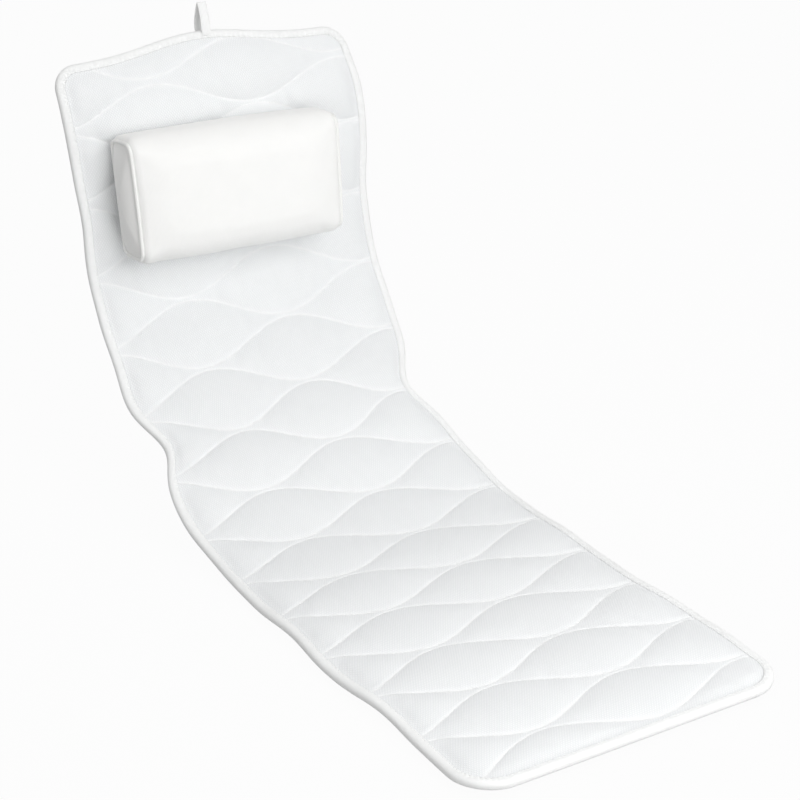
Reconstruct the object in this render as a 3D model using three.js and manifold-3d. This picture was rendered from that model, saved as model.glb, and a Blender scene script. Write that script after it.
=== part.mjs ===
// Full-length bath mat with a head pillow, in millimetres, +Z up.
// X runs across the mat and +Y towards its head. The origin is on the tub floor, amid the seat's cups.
// The mat is drawn flat, in x, s and n: s is the length from the foot edge, n the height over mid-thickness.
// place() then bends it along its side profile, so that every layer follows the same curve.

import * as THREE from "three";
import Module from "manifold-3d";

const solids = await Module();
solids.setup();

// Mat outline
const MAT_WIDTH = 400;
const CORNER_RADIUS = 50;
const HEAD_ARCH = 20; // how far the head edge rises from its corners to its middle
const HEAD_ARCH_REACH = 150;
const WAIST_PINCH = 22; // how far each side is drawn in near the fold
const WAIST_REACH = 54;
const WAIST_RAISE = 15; // from the fold to the narrowest place

// Side profile from foot to head, as arcs: a length, and the turn along it in degrees
const FLAT_LENGTH = 480;
const RAMP_LENGTH = 170;
const RAMP_TURN = 26;
const LUMBAR_LENGTH = 85;
const LUMBAR_TURN = 3;
const LOWER_BACK_LENGTH = 165;
const LOWER_BACK_TURN = 26;
const UPPER_BACK_LENGTH = 90;
const UPPER_BACK_TURN = 31;
const PILLOW_REST_LENGTH = 165;
const HEAD_LENGTH = 104;
const HEAD_TURN = -33;

// Layers of the mat
const CLEAR = 0.3; // between pieces that touch
const LAYER_GAP = 0.8; // between layers that bend together
const BASE_THICKNESS = 1.6;
const WADDING_THICKNESS = 4.3;
const FACE_THICKNESS = 3.5; // at the seams
const QUILT_CROWN = 6; // how far a puff rises over its seams
const STATION = 20; // longest step along a bent layer
const CORNER_SHARES = [0, 0.08, 0.3, 0.6, 1]; // where a layer's rows fall along a round corner
const ROW_MARGIN = 1; // least step from the row at the fold to the next
const LAYER_COLUMNS = 8;

// Quilting: seams that wave across the mat, each against the next
const SEAM_PITCH = 48.2;
const SEAM_GAP = 5; // between two seams where they come closest
const SEAM_WAVES = 1.5;
const FIRST_SEAM = 39; // from the foot edge to the first seam's middle
const SEAM_MARGIN = 14; // nearest that a seam comes to an end of its sheet
const PUFF_WIDTH = 60; // a channel this wide reaches the full crown
const PUFF_EDGE = 14; // a puff rises over this length from the binding
const PUFF_CORNER_RADIUS = 90; // the puffs keep clear of the mat's corners on this radius
const QUILT_COLUMNS = 11;
const SEAT_QUILT_ROWS = 3; // per channel
const BACK_QUILT_ROWS = 4; // per channel, more because the back bends more

// Edge binding
const TAPE_THICKNESS = 1.5;
const TAPE_LIP = 11; // width of tape over the face and under the base
const TAPE_ROUND = 2;
const TAPE_EDGE_GAP = 0.6;
const CORNER_STEPS = 8;
const END_STEPS = 12; // steps of the binding across each end of the mat

// Fold across the mat: the free angle at each of its two ends, half the fold's range and a little more
const FOLD_UP_HALF = 40;
const FOLD_DOWN_HALF = 38;
const FOLD_GAP = 0.2; // from the fold line to each half

// Suction cups and their eyelets
const CUP_RADIUS = 22;
const CUP_STANDOFF = 6; // from the underside to the rim
const CUP_WALL = 1.6;
const CUP_LIP = 1.8;
const CUP_BEND_OUT = 0.6; // where the dish bends, as shares of the way from its shoulder to its rim
const CUP_BEND_DOWN = 0.25;
const CUP_NECK_RADIUS = 4.1;
const CUP_SHOULDER_RADIUS = 6.5;
const CUP_HEAD_RADIUS = 7;
const CUP_HEAD_THICKNESS = 1.8;
const EYELET_WALL = 0.8;
const EYELET_FLANGE_RADIUS = 8;
const EYELET_FLANGE_THICKNESS = 0.6;
const CUP_SIDES = 16;
const CUP_X = 120;
const SEAT_CUP_FIRST = 110;
const SEAT_CUP_PITCH = 260;
const SEAT_CUP_ROWS = 2;
const BACK_CUP_FIRST = 80; // from the fold
const BACK_CUP_PITCH = 162;
const BACK_CUP_ROWS = 3;

// Pillow
const PILLOW_LENGTH = 279;
const PILLOW_HEIGHT = 161;
const PILLOW_DEPTH = 66;
const PILLOW_CROWN = 8; // added depth at the middle of its length
const PILLOW_FRONT_BULGE = 5;
const PILLOW_WAIST = 3; // how far its ends are drawn in
const PILLOW_FRONT_RADIUS = 26;
const PILLOW_BACK_RADIUS = 30;
const PILLOW_SHIFT = -18; // put on by hand: a little to one side, up and turned
const PILLOW_RAISE = 6;
const PILLOW_TURN = -2.1;
const PILLOW_STATIONS = 10;
const PILLOW_BACK_STEPS = 4; // on each rounded edge of its section
const PILLOW_FRONT_STEPS = 5;
const COVER_THICKNESS = 2.5;
const END_DOME = 4;
const PIPING_RADIUS = 2.2;
const PIPING_SIDES = 6;

// Hook and loop strips
const STRIP_LENGTH = 220;
const STRIP_WIDTH = 25;
const STRIP_THICKNESS = 1.6;
const STRIP_PITCH = 70;

// Hanging loop
const LOOP_TAPE_WIDTH = 12;
const LOOP_TAPE_THICKNESS = 1.4;
const LOOP_HEIGHT = 40;
const LOOP_SPREAD = 16; // widest, front to back
const LOOP_LOW_SWELL = 0.5; // how much its widest place sits below its middle
const LOOP_FOOT = 2; // from the head edge up to its foot
const LOOP_STEPS = 24;

// Looks
const meshWhite = new THREE.MeshStandardMaterial({ color: 0xeef0f2, roughness: 0.9 });
const tapeWhite = new THREE.MeshStandardMaterial({ color: 0xfafafa, roughness: 0.8 });
const waddingWhite = new THREE.MeshStandardMaterial({ color: 0xf4f4f0, roughness: 1 });
const pillowWhite = new THREE.MeshStandardMaterial({ color: 0xf8f7f3, roughness: 0.9 });
const foamCream = new THREE.MeshStandardMaterial({ color: 0xf3ecd8, roughness: 1 });
const clearVinyl = new THREE.MeshStandardMaterial({ color: 0xdfe8ea, roughness: 0.2 });
const eyeletWhite = new THREE.MeshStandardMaterial({ color: 0xe8e8e8, roughness: 0.4 });

// Worked out from the sizes above
const ARCS = [
  [FLAT_LENGTH, 0],
  [RAMP_LENGTH, RAMP_TURN],
  [LUMBAR_LENGTH, LUMBAR_TURN],
  [LOWER_BACK_LENGTH, LOWER_BACK_TURN],
  [UPPER_BACK_LENGTH, UPPER_BACK_TURN],
  [PILLOW_REST_LENGTH, 0],
  [HEAD_LENGTH, HEAD_TURN],
];
const MAT_LENGTH = ARCS.reduce((sum, [length]) => sum + length, 0);
const FOLD_AT = FLAT_LENGTH + RAMP_LENGTH + LUMBAR_LENGTH;
const PILLOW_AT = FOLD_AT + LOWER_BACK_LENGTH + UPPER_BACK_LENGTH + PILLOW_REST_LENGTH / 2;
const STACK = BASE_THICKNESS + WADDING_THICKNESS + FACE_THICKNESS + 2 * LAYER_GAP;
const BASE_BOTTOM = -STACK / 2;
const BASE_TOP = BASE_BOTTOM + BASE_THICKNESS;
const WADDING_BOTTOM = BASE_TOP + LAYER_GAP;
const WADDING_TOP = WADDING_BOTTOM + WADDING_THICKNESS;
const FACE_BOTTOM = WADDING_TOP + LAYER_GAP;
const FACE_SEAM = STACK / 2;
const FACE_CROWN = FACE_SEAM + QUILT_CROWN;
const TAPE_INNER = FACE_SEAM + LAYER_GAP;
const TAPE_OUTER = TAPE_INNER + TAPE_THICKNESS;
const LAYER_INSET = TAPE_THICKNESS + TAPE_EDGE_GAP;
const MID_HEIGHT = CUP_STANDOFF - BASE_BOTTOM;
const ORIGIN_AT = SEAT_CUP_FIRST + (SEAT_CUP_PITCH * (SEAT_CUP_ROWS - 1)) / 2;
const SEAM_AMPLITUDE = (SEAM_PITCH - SEAM_GAP) / 2;

const SAME = 1e-6; // lengths closer than this are one
const radians = THREE.MathUtils.degToRad;
const smooth = (t) => THREE.MathUtils.smoothstep(t, 0, 1);
const lerp = THREE.MathUtils.lerp;
const spread = (from, to, steps) => Array.from({ length: steps + 1 }, (_, i) => lerp(from, to, i / steps));

// The point of the side profile at length s, and the slope there. It runs on straight past both ends.
function profile(s) {
  const at = { y: 0, z: 0, slope: 0 };
  let left = s;
  for (const [i, [length, turn]] of ARCS.entries()) {
    const last = i === ARCS.length - 1;
    const step = Math.min(left, length);
    const bend = (radians(turn) * step) / length;
    const chord = bend === 0 ? step : (step * Math.sin(bend / 2)) / (bend / 2);
    at.y += chord * Math.cos(at.slope + bend / 2);
    at.z += chord * Math.sin(at.slope + bend / 2);
    at.slope += bend;
    left -= step;
    if (left <= 0) break;
    if (last) {
      at.y += left * Math.cos(at.slope);
      at.z += left * Math.sin(at.slope);
    }
  }
  return at;
}

// A point of the flat drawing, in the part's frame.
function place(x, s, n) {
  const across = x / (MAT_WIDTH / 2);
  const fromWaist = (s - FOLD_AT - WAIST_RAISE) / WAIST_REACH;
  const waist = WAIST_PINCH * across * Math.exp(-(fromWaist ** 2));
  const drop = (1 - Math.cos(Math.PI * across)) / 2;
  const arch = HEAD_ARCH * drop * smooth((s - MAT_LENGTH + HEAD_ARCH_REACH) / HEAD_ARCH_REACH);
  const { y, z, slope } = profile(s - arch);
  return new THREE.Vector3(
    x - waist,
    y - ORIGIN_AT - n * Math.sin(slope),
    z + MID_HEIGHT + n * Math.cos(slope),
  );
}

// The frame at a point of the mat: its X is the mat's, its Y runs along the mat and its Z out of the face.
function frameAt(x, s, n) {
  const { slope } = profile(s);
  const across = new THREE.Vector3(1, 0, 0);
  const along = new THREE.Vector3(0, Math.cos(slope), Math.sin(slope));
  const out = new THREE.Vector3(0, -Math.sin(slope), Math.cos(slope));
  return new THREE.Matrix4().makeBasis(across, along, out).setPosition(place(x, s, n));
}

// Half the mat's width at length s, for an outline drawn in by inset.
function halfWidth(s, inset) {
  const radius = CORNER_RADIUS - inset;
  const toEnd = Math.max(0, Math.min(s, MAT_LENGTH - s) - inset);
  const round = Math.max(0, radius - toEnd);
  return MAT_WIDTH / 2 - inset - radius + Math.sqrt(Math.max(0, radius ** 2 - round ** 2));
}

// How far a point of the flat drawing is inside an outline of the mat's size with the given corner radius.
function insideBy(x, s, radius) {
  const qx = Math.abs(x) - MAT_WIDTH / 2 + radius;
  const qs = Math.abs(s - MAT_LENGTH / 2) - MAT_LENGTH / 2 + radius;
  const outer = Math.hypot(Math.max(qx, 0), Math.max(qs, 0));
  return radius - outer - Math.min(Math.max(qx, qs), 0);
}

// Collects triangles and gives them as a geometry.
class Surface {
  constructor() {
    this.points = [];
    this.index = [];
  }
  add(point) {
    this.points.push(point);
    return this.points.length - 1;
  }
  quad(a, b, c, d) {
    this.index.push(a, b, c, a, c, d);
  }
  triangle(a, b, c) {
    this.index.push(a, b, c);
  }
  geometry() {
    const made = new THREE.BufferGeometry().setFromPoints(this.points);
    made.setIndex(this.index);
    made.computeVertexNormals();
    return made;
  }
}

// A closed sheet from two grids of points with the same rows and columns, the top one and the bottom one.
function sheet(rows, columns, top, bottom) {
  const surface = new Surface();
  const ids = [top, bottom].map((at) =>
    Array.from({ length: rows + 1 }, (_, r) =>
      Array.from({ length: columns + 1 }, (_, c) => surface.add(at(r, c))),
    ),
  );
  const [up, down] = ids;
  for (let r = 0; r < rows; r++) {
    for (let c = 0; c < columns; c++) {
      surface.quad(up[r][c], up[r][c + 1], up[r + 1][c + 1], up[r + 1][c]);
      surface.quad(down[r][c], down[r + 1][c], down[r + 1][c + 1], down[r][c + 1]);
    }
    surface.quad(up[r][0], up[r + 1][0], down[r + 1][0], down[r][0]);
    surface.quad(up[r + 1][columns], up[r][columns], down[r][columns], down[r + 1][columns]);
  }
  for (let c = 0; c < columns; c++) {
    surface.quad(up[0][c + 1], up[0][c], down[0][c], down[0][c + 1]);
    surface.quad(up[rows][c], up[rows][c + 1], down[rows][c + 1], down[rows][c]);
  }
  return surface.geometry();
}

// A closed solid through loops of points. Each end is closed by a fan to a middle point.
function loft(loops, startMiddle, endMiddle) {
  const surface = new Surface();
  const ids = loops.map((loop) => loop.map((point) => surface.add(point)));
  const count = loops[0].length;
  const first = surface.add(startMiddle);
  const last = surface.add(endMiddle);
  const ending = ids[ids.length - 1];
  for (let i = 0; i < count; i++) {
    const j = (i + 1) % count;
    for (let k = 0; k + 1 < ids.length; k++) {
      surface.quad(ids[k][i], ids[k][j], ids[k + 1][j], ids[k + 1][i]);
    }
    surface.triangle(first, ids[0][j], ids[0][i]);
    surface.triangle(last, ending[i], ending[j]);
  }
  return surface.geometry();
}

// A closed tube with a wall: outer and inner loops of points, joined at both ends.
function walledTube(outer, inner) {
  const round = [...outer, ...inner.slice().reverse()];
  return closedSweep(round);
}

// A solid through loops of points that come back to the first loop.
function closedSweep(loops) {
  const surface = new Surface();
  const ids = loops.map((loop) => loop.map((point) => surface.add(point)));
  const count = loops[0].length;
  for (let k = 0; k < ids.length; k++) {
    const next = ids[(k + 1) % ids.length];
    for (let i = 0; i < count; i++) {
      const j = (i + 1) % count;
      surface.quad(ids[k][i], ids[k][j], next[j], next[i]);
    }
  }
  return surface.geometry();
}

// A solid turned about Z from a closed outline of radius and height pairs, counter-clockwise.
function turned(outline, sides) {
  const surface = new Surface();
  const rings = outline.map(([radius, height]) => {
    if (radius === 0) {
      const pole = surface.add(new THREE.Vector3(0, 0, height));
      return Array(sides).fill(pole);
    }
    return Array.from({ length: sides }, (_, i) => {
      const angle = (2 * Math.PI * i) / sides;
      return surface.add(new THREE.Vector3(radius * Math.cos(angle), radius * Math.sin(angle), height));
    });
  });
  for (let k = 0; k < rings.length; k++) {
    const ring = rings[k];
    const next = rings[(k + 1) % rings.length];
    const fromPole = outline[k][0] === 0;
    const toPole = outline[(k + 1) % rings.length][0] === 0;
    if (fromPole && toPole) continue;
    for (let i = 0; i < sides; i++) {
      const j = (i + 1) % sides;
      if (!fromPole) surface.triangle(ring[i], ring[j], next[j]);
      if (!toPole) surface.triangle(ring[i], next[j], next[i]);
    }
  }
  return surface.geometry();
}

// A geometry as a solid for booleans, and back.
function solidOf(geometry) {
  const { position } = geometry.attributes;
  return new solids.Manifold(
    new solids.Mesh({
      numProp: 3,
      vertProperties: new Float32Array(position.array),
      triVerts: new Uint32Array(geometry.index.array),
    }),
  );
}

function geometryOf(solid) {
  const { numProp, vertProperties, triVerts } = solid.getMesh();
  const points = [];
  for (let i = 0; i < vertProperties.length; i += numProp) {
    points.push(new THREE.Vector3(vertProperties[i], vertProperties[i + 1], vertProperties[i + 2]));
  }
  const made = new THREE.BufferGeometry().setFromPoints(points);
  made.setIndex([...triVerts]);
  made.computeVertexNormals();
  return made;
}

function drilled(geometry, tools) {
  return geometryOf(tools.reduce((solid, tool) => solid.subtract(solidOf(tool)), solidOf(geometry)));
}

const part = new THREE.Group();

function add(name, geometry, material) {
  const mesh = new THREE.Mesh(geometry, material);
  mesh.name = name;
  part.add(mesh);
}

// How far from the fold line a piece at height n has to stop, so that both halves can turn about that line.
function foldRelief(n) {
  const half = n > 0 ? FOLD_UP_HALF : FOLD_DOWN_HALF;
  return FOLD_GAP + Math.abs(n) * Math.tan(radians(half));
}

// Lengths along a plain layer: close together on the round corners and on the bends.
function stations(from, to) {
  const cornerSteps = CORNER_SHARES.map((share) => share * CORNER_RADIUS);
  const ends = cornerSteps.flatMap((step) => [LAYER_INSET + step, MAT_LENGTH - LAYER_INSET - step]);
  let marks = [from, to, ...ends];
  let arcStart = 0;
  for (const [length, turn] of ARCS) {
    const steps = turn === 0 ? 1 : Math.ceil(length / STATION);
    for (let i = 0; i <= steps; i++) marks.push(arcStart + (length * i) / steps);
    arcStart += length;
  }
  marks = marks.filter((s) => s >= from && s <= to).sort((a, b) => a - b);
  return marks.filter((s, i) => i === 0 || s - marks[i - 1] > SAME);
}

// The halves of the mat, each between one end of the mat and the fold.
const HALVES = {
  seat: { from: LAYER_INSET, to: FOLD_AT, foldSide: 1, quiltRows: SEAT_QUILT_ROWS },
  back: { from: FOLD_AT, to: MAT_LENGTH - LAYER_INSET, foldSide: -1, quiltRows: BACK_QUILT_ROWS },
};

// A plain layer of one half. Next to the fold its end slants back by what the fold needs at each height.
function plainLayer({ from, to, foldSide }, bottom, top) {
  const rows = stations(from, to);
  const foldRow = foldSide > 0 ? rows.length - 1 : 0;
  const nearest = Math.max(foldRelief(bottom), foldRelief(top));
  const kept = rows.filter((s, i) => i === foldRow || Math.abs(s - FOLD_AT) > nearest + ROW_MARGIN);
  const heldRow = foldSide > 0 ? kept.length - 1 : 0;
  const at = (n) => (r, c) => {
    const s = r === heldRow ? FOLD_AT - foldSide * foldRelief(n) : kept[r];
    const x = ((2 * c) / LAYER_COLUMNS - 1) * halfWidth(kept[r], LAYER_INSET);
    return place(x, s, n);
  };
  return sheet(kept.length - 1, LAYER_COLUMNS, at(top), at(bottom));
}

// The wadding thins to an edge on the fold line, where the two halves hang together.
function waddingLayer(half) {
  const { from, to, foldSide } = half;
  const thick = FOLD_AT - foldSide * Math.max(foldRelief(WADDING_BOTTOM), foldRelief(WADDING_TOP));
  const rows = foldSide > 0 ? stations(from, thick) : stations(thick, to);
  const line = FOLD_AT - foldSide * FOLD_GAP;
  const all = foldSide > 0 ? [...rows, line] : [line, ...rows];
  const at = (n) => (r, c) => {
    const thin = all[r] === line;
    const x = ((2 * c) / LAYER_COLUMNS - 1) * halfWidth(all[r], LAYER_INSET);
    return place(x, all[r], thin ? Math.sign(n) * (FOLD_GAP / 2) : n);
  };
  return sheet(all.length - 1, LAYER_COLUMNS, at(WADDING_TOP), at(WADDING_BOTTOM));
}

// The middle line of quilting seam k, at share u of the mat's width from left to right.
function seam(k, u) {
  const side = k % 2 === 0 ? -1 : 1;
  return FIRST_SEAM + k * SEAM_PITCH + side * SEAM_AMPLITUDE * Math.cos(2 * Math.PI * SEAM_WAVES * u);
}

// The quilted face of one half. Its rows follow the seams, so that each channel swells between two of them.
function quiltedFace({ from, to, foldSide, quiltRows }) {
  const seamCount = Math.floor((MAT_LENGTH - FIRST_SEAM) / SEAM_PITCH) + 1;
  const held = (s) => THREE.MathUtils.clamp(s, from + SEAM_MARGIN, to - SEAM_MARGIN);
  const hem = TAPE_LIP + CLEAR;
  const seams = [];
  for (let k = 0; k < seamCount; k++) {
    const middle = FIRST_SEAM + k * SEAM_PITCH;
    if (middle > from + SEAM_MARGIN && middle < to - SEAM_MARGIN) seams.push((u) => held(seam(k, u)));
  }
  const first = foldSide > 0 ? hem : from;
  const last = foldSide > 0 ? to : MAT_LENGTH - hem;
  const lines = [() => first, ...seams, () => last];

  const swollen = (r) => {
    const channel = Math.min(Math.floor(r / quiltRows), lines.length - 2);
    return { low: lines[channel], high: lines[channel + 1], share: r / quiltRows - channel };
  };
  const rows = Array.from({ length: (lines.length - 1) * quiltRows + 1 }, (_, r) => swollen(r));
  const flat = (s) => ({ low: () => s, high: () => s, share: 0 });
  if (foldSide > 0) rows.unshift(flat(from));
  else rows.push(flat(to));
  const foldRow = foldSide > 0 ? rows.length - 1 : 0;
  const hemShare = (hem - LAYER_INSET) / (MAT_WIDTH - 2 * LAYER_INSET);
  const columns = [0, ...spread(hemShare, 1 - hemShare, QUILT_COLUMNS - 2), 1];

  const point = (r, c) => {
    const u = columns[c];
    const low = rows[r].low(u);
    const high = rows[r].high(u);
    const s = lerp(low, high, rows[r].share);
    const x = (2 * u - 1) * halfWidth(s, LAYER_INSET);
    const swell = Math.sin(Math.PI * rows[r].share) * smooth((high - low) / PUFF_WIDTH);
    const fromEdge = smooth((insideBy(x, s, PUFF_CORNER_RADIUS) - hem) / PUFF_EDGE);
    const fromFold = smooth((Math.abs(s - FOLD_AT) - SEAM_MARGIN) / PUFF_EDGE);
    return { x, s, lift: QUILT_CROWN * swell * fromEdge * fromFold };
  };
  const at = (n, lifted) => (r, c) => {
    const { x, s, lift } = point(r, c);
    const length = r === foldRow ? FOLD_AT - foldSide * foldRelief(n) : s;
    return place(x, length, n + (lifted ? lift : 0));
  };
  return sheet(rows.length - 1, QUILT_COLUMNS, at(FACE_SEAM, true), at(FACE_BOTTOM, false));
}

// The edge of the mat from the fold, round one end and back to the fold: points and the way out of the mat.
function edgePath(atHead) {
  const stop = foldRelief(TAPE_OUTER);
  const rows = stations(CORNER_RADIUS, MAT_LENGTH - CORNER_RADIUS);
  const clear = stop + ROW_MARGIN;
  const side = rows.filter((s) => (atHead ? s > FOLD_AT + clear : s < FOLD_AT - clear));
  const down = atHead ? side : side.reverse();
  const foldEnd = atHead ? FOLD_AT + stop : FOLD_AT - stop;
  const endMiddle = atHead ? MAT_LENGTH - CORNER_RADIUS : CORNER_RADIUS;
  const way = atHead ? 1 : -1;
  const left = [foldEnd, ...down].filter((s) => Math.abs(s - endMiddle) > SAME);
  const straight = left.map((s) => ({ x: -MAT_WIDTH / 2, s, outX: -1, outS: 0 }));
  const corner = [];
  for (let i = 0; i <= CORNER_STEPS; i++) {
    const angle = (Math.PI / 2) * (i / CORNER_STEPS);
    const outX = -Math.cos(angle);
    const outS = way * Math.sin(angle);
    const x = -MAT_WIDTH / 2 + CORNER_RADIUS + outX * CORNER_RADIUS;
    corner.push({ x, s: endMiddle + outS * CORNER_RADIUS, outX, outS });
  }
  const half = [...straight, ...corner];
  const last = half[half.length - 1];
  const across = [];
  for (let i = 1; i < END_STEPS; i++) across.push({ ...last, x: last.x * (1 - (2 * i) / END_STEPS) });
  const mirrored = half.map((p) => ({ ...p, x: -p.x, outX: -p.outX })).reverse();
  return [...half, ...across, ...mirrored];
}

// The tape's section: how far outside the edge, and the height.
function tapeSection() {
  return [
    [-TAPE_LIP, TAPE_OUTER],
    [-TAPE_ROUND, TAPE_OUTER],
    [0, TAPE_OUTER - TAPE_ROUND],
    [0, -TAPE_OUTER + TAPE_ROUND],
    [-TAPE_ROUND, -TAPE_OUTER],
    [-TAPE_LIP, -TAPE_OUTER],
    [-TAPE_LIP, -TAPE_INNER],
    [-TAPE_THICKNESS, -TAPE_INNER],
    [-TAPE_THICKNESS, TAPE_INNER],
    [-TAPE_LIP, TAPE_INNER],
  ];
}

// The binding of one half, an open run of tape with flat ends.
function binding(atHead) {
  const path = edgePath(atHead);
  const section = tapeSection();
  const surface = new Surface();
  const rings = path.map(({ x, s, outX, outS }) =>
    section.map(([out, n]) => surface.add(place(x + out * outX, s + out * outS, n))),
  );
  const count = section.length;
  const facing = atHead ? -1 : 1;
  const quad = (a, b, c, d) => (facing > 0 ? surface.quad(a, b, c, d) : surface.quad(a, d, c, b));
  for (let k = 0; k + 1 < rings.length; k++) {
    for (let i = 0; i < count; i++) {
      const j = (i + 1) % count;
      quad(rings[k][i], rings[k][j], rings[k + 1][j], rings[k + 1][i]);
    }
  }
  // Each flat end is three strips: the two lips and the fold of the tape between them
  const ends = [
    [rings[0], false],
    [rings[rings.length - 1], true],
  ];
  for (const [ring, last] of ends) {
    const strips = [
      [0, 1, 8, 9],
      [1, 2, 3, 8],
      [8, 3, 4, 7],
      [7, 4, 5, 6],
    ];
    for (const [a, b, c, d] of strips) {
      if (last) quad(ring[a], ring[b], ring[c], ring[d]);
      else quad(ring[a], ring[d], ring[c], ring[b]);
    }
  }
  return surface.geometry();
}

// Suction cup, its rim down: the dish, the neck through the underside, and the head above it.
function cupOutline() {
  const rim = -CUP_STANDOFF;
  const lipInner = CUP_RADIUS - CUP_LIP;
  const shoulder = -(EYELET_FLANGE_THICKNESS + 2 * CLEAR);
  const headBottom = BASE_THICKNESS + LAYER_GAP;
  const dome = shoulder - CUP_WALL;
  const middle = lerp(CUP_SHOULDER_RADIUS, CUP_RADIUS, CUP_BEND_OUT);
  const slope = lerp(shoulder, rim, CUP_BEND_DOWN);
  return [
    [0, dome],
    [middle, slope - CUP_WALL],
    [lipInner, rim],
    [CUP_RADIUS, rim],
    [CUP_RADIUS, rim + CUP_WALL / 2],
    [middle, slope],
    [CUP_SHOULDER_RADIUS, shoulder],
    [CUP_NECK_RADIUS, shoulder],
    [CUP_NECK_RADIUS, headBottom],
    [CUP_HEAD_RADIUS, headBottom],
    [CUP_HEAD_RADIUS, headBottom + CUP_HEAD_THICKNESS],
    [0, headBottom + CUP_HEAD_THICKNESS],
  ];
}

// Eyelet: a flange under the underside and a barrel through it.
function eyeletOutline() {
  const bore = CUP_NECK_RADIUS + CLEAR;
  return [
    [bore, -EYELET_FLANGE_THICKNESS - CLEAR],
    [EYELET_FLANGE_RADIUS, -EYELET_FLANGE_THICKNESS - CLEAR],
    [EYELET_FLANGE_RADIUS, -CLEAR],
    [bore + EYELET_WALL, -CLEAR],
    [bore + EYELET_WALL, BASE_THICKNESS],
    [bore, BASE_THICKNESS],
  ];
}

// A plain round tool about Z.
const drum = (radius, low, high) =>
  turned(
    [
      [0, low],
      [radius, low],
      [radius, high],
      [0, high],
    ],
    CUP_SIDES,
  );

const cupFrames = (first, pitch, rows) =>
  Array.from({ length: rows * 2 }, (_, i) =>
    frameAt(i % 2 === 0 ? -CUP_X : CUP_X, first + pitch * Math.floor(i / 2), BASE_BOTTOM),
  );
const CUPS = {
  seat: cupFrames(SEAT_CUP_FIRST, SEAT_CUP_PITCH, SEAT_CUP_ROWS),
  back: cupFrames(FOLD_AT + BACK_CUP_FIRST, BACK_CUP_PITCH, BACK_CUP_ROWS),
};

// The mat's two halves with their cups
for (const [name, half] of Object.entries(HALVES)) {
  const hole = drum(CUP_NECK_RADIUS + EYELET_WALL + 2 * CLEAR, -BASE_THICKNESS, 2 * BASE_THICKNESS);
  const pocketTop = BASE_THICKNESS + LAYER_GAP + CUP_HEAD_THICKNESS + CLEAR;
  const pocket = drum(CUP_HEAD_RADIUS + CLEAR, 0, pocketTop);
  const atCups = (tool) => CUPS[name].map((frame) => tool.clone().applyMatrix4(frame));
  add(`${name}_quilted_face`, quiltedFace(half), meshWhite);
  add(`${name}_wadding`, drilled(waddingLayer(half), atCups(pocket)), waddingWhite);
  add(`${name}_base_mesh`, drilled(plainLayer(half, BASE_BOTTOM, BASE_TOP), atCups(hole)), meshWhite);
  add(`${name}_binding`, binding(name === "back"), tapeWhite);
  CUPS[name].forEach((frame, i) => {
    add(`${name}_suction_cup_${i + 1}`, turned(cupOutline(), CUP_SIDES).applyMatrix4(frame), clearVinyl);
    add(`${name}_eyelet_${i + 1}`, turned(eyeletOutline(), CUP_SIDES).applyMatrix4(frame), eyeletWhite);
  });
}

// Hook and loop strips, the loop side on the mat and the hook side on the pillow
const LOOP_STRIP_BOTTOM = FACE_CROWN + CLEAR;
const HOOK_STRIP_BOTTOM = LOOP_STRIP_BOTTOM + STRIP_THICKNESS + CLEAR;
const PILLOW_BACK = HOOK_STRIP_BOTTOM + STRIP_THICKNESS + CLEAR;
const REST_FRAME = frameAt(0, PILLOW_AT, 0);
const PUT_ON = new THREE.Matrix4()
  .makeRotationZ(radians(PILLOW_TURN))
  .setPosition(PILLOW_SHIFT, PILLOW_RAISE, 0)
  .premultiply(REST_FRAME);
for (const [side, along] of [["lower", -STRIP_PITCH / 2], ["upper", STRIP_PITCH / 2]]) {
  const sides = [
    ["mat_loop", LOOP_STRIP_BOTTOM, REST_FRAME],
    ["pillow_hook", HOOK_STRIP_BOTTOM, PUT_ON],
  ];
  for (const [kind, bottom, frame] of sides) {
    const strip = new THREE.BoxGeometry(STRIP_LENGTH, STRIP_WIDTH, STRIP_THICKNESS);
    strip.translate(0, along, bottom + STRIP_THICKNESS / 2);
    add(`${kind}_strip_${side}`, strip.applyMatrix4(frame), tapeWhite);
  }
}

// The pillow's section at x, drawn in by inset: flat behind, rounded and bulging in front.
function pillowSection(x, inset) {
  const crown = 1 - ((2 * x) / PILLOW_LENGTH) ** 2;
  const halfHeight = PILLOW_HEIGHT / 2 - PILLOW_WAIST * (1 - crown) - inset;
  const depth = PILLOW_DEPTH + PILLOW_CROWN * crown - inset;
  const frontRadius = PILLOW_FRONT_RADIUS - inset;
  const backRadius = PILLOW_BACK_RADIUS - inset;
  const points = [];
  const arc = (a, b, radius, start, steps) => {
    for (let i = 0; i <= steps; i++) {
      const angle = radians(start + (90 * i) / steps);
      points.push([a + radius * Math.cos(angle), b + radius * Math.sin(angle)]);
    }
  };
  arc(halfHeight - backRadius, inset + backRadius, backRadius, -90, PILLOW_BACK_STEPS);
  arc(halfHeight - frontRadius, depth - frontRadius, frontRadius, 0, PILLOW_FRONT_STEPS);
  points.push([0, depth]);
  arc(-halfHeight + frontRadius, depth - frontRadius, frontRadius, 90, PILLOW_FRONT_STEPS);
  arc(-halfHeight + backRadius, inset + backRadius, backRadius, 180, PILLOW_BACK_STEPS);
  const bulge = (a, b) => PILLOW_FRONT_BULGE * (1 - (a / halfHeight) ** 2) * smooth(b / depth);
  return points.map(([a, b]) => new THREE.Vector3(x, a, b + bulge(a, b)));
}

const onPillow = (geometry) => geometry.translate(0, 0, PILLOW_BACK).applyMatrix4(PUT_ON);
const middleOf = (x) => new THREE.Vector3(x, 0, PILLOW_DEPTH / 2);

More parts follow.
